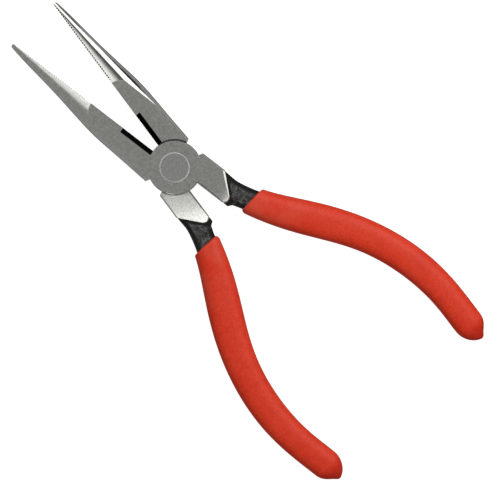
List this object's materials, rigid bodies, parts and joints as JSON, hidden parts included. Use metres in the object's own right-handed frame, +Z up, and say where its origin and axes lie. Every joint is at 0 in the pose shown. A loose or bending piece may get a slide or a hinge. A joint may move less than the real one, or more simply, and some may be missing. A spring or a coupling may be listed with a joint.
{
  "type": "needle nose pliers",
  "caption": "Long tapered half-round nose pliers with side cutters, a flush riveted lap joint and red dipped grips.",
  "frame": {"origin": "on the rivet's axis, in the plane of the head's underside, on which the pliers lie", "axes": "+Z up along the rivet's axis, +Y along the tool's centre line towards the jaw tips, +X to the right"},
  "size_m": [0.089, 0.1986, 0.01],
  "materials": {
    "steel": "ground head, black forged tangs",
    "rivet": "ground flush",
    "grip": "dipped vinyl, satin"
  },
  "bodies": {
    "front_lever": {"front_half": "steel", "pivot_rivet": "rivet", "front_grip": "grip"},
    "back_lever": {"back_half": "steel", "back_grip": "grip"}
  },
  "joints": [
    {"name": "jaw_pivot", "type": "hinge", "parent": "front_lever", "child": "back_lever", "pos_m": [0, 0, 0], "axis": [0, 0, -1], "range_deg": [-15.7, 37.3]}
  ]
}
